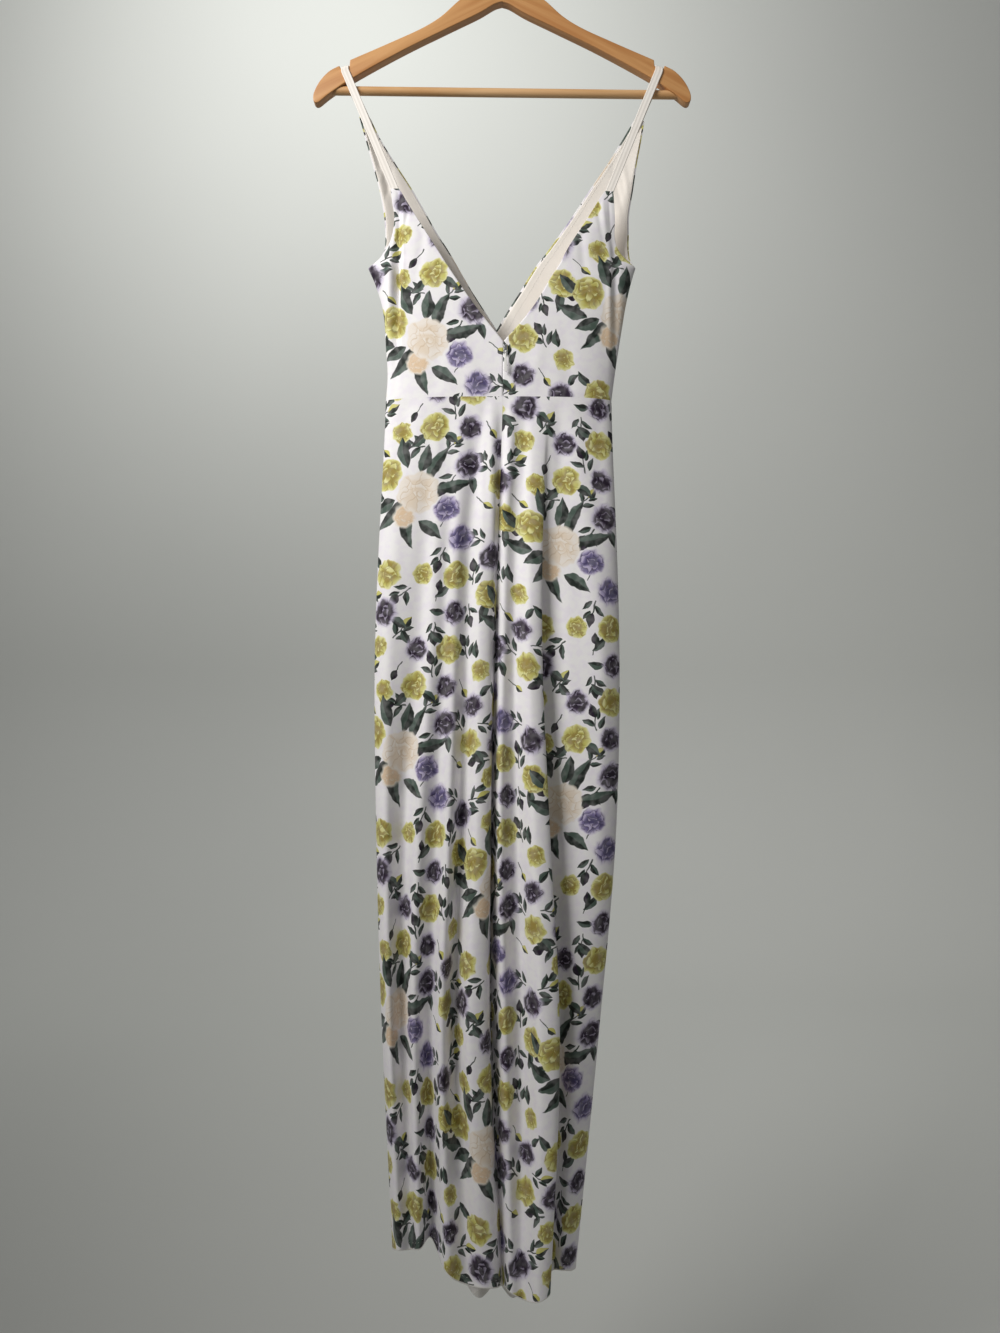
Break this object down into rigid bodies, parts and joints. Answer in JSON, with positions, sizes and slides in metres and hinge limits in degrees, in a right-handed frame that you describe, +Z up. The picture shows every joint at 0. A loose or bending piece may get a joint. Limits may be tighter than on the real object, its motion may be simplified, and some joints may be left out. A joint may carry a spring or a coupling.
{
  "type": "wrap maxi dress on a wooden hanger",
  "caption": "Long sleeveless wrap dress in floral cloth, deep V back with an invisible zip, hung by narrow straps on a notched wooden hanger",
  "frame": {"origin": "inside top of the hanger's hook, where a rail carries it", "axes": "+Z up along the dress, -Y out of the back of the dress (zip side), +X towards the wearer's right"},
  "size_m": [0.445, 0.1064, 1.6449],
  "materials": {
    "printed_cloth": "matte floral print on white crepe",
    "cream_lining": "soft cream lining and straps",
    "zip_tape": "woven tape",
    "honey_wood": "satin lacquered",
    "pale_wood": "satin lacquered",
    "steel": "bright",
    "white_pull": "enamelled"
  },
  "bodies": {
    "dress_on_hanger": {"back_bodice_left": "printed_cloth", "back_bodice_right": "printed_cloth", "front_bodice_left": "printed_cloth", "front_bodice_right": "printed_cloth", "front_lining_left": "cream_lining", "front_lining_right": "cream_lining", "back_skirt_left": "printed_cloth", "back_skirt_right": "printed_cloth", "front_skirt_left": "printed_cloth", "front_skirt_right": "printed_cloth", "strap_left": "cream_lining", "strap_right": "cream_lining", "zip_tape": "zip_tape", "zip_slider": "steel", "hanger_arms": "honey_wood", "hanger_bar": "pale_wood", "hanger_hook": "steel"},
    "pull_body": {"zip_pull": "white_pull"}
  },
  "joints": [
    {"name": "pull_hinge", "type": "hinge", "parent": "dress_on_hanger", "child": "pull_body", "pos_m": [0.004, -0.0273, -0.5216], "axis": [-1, 0, 0], "range_deg": [0, 170]}
  ]
}
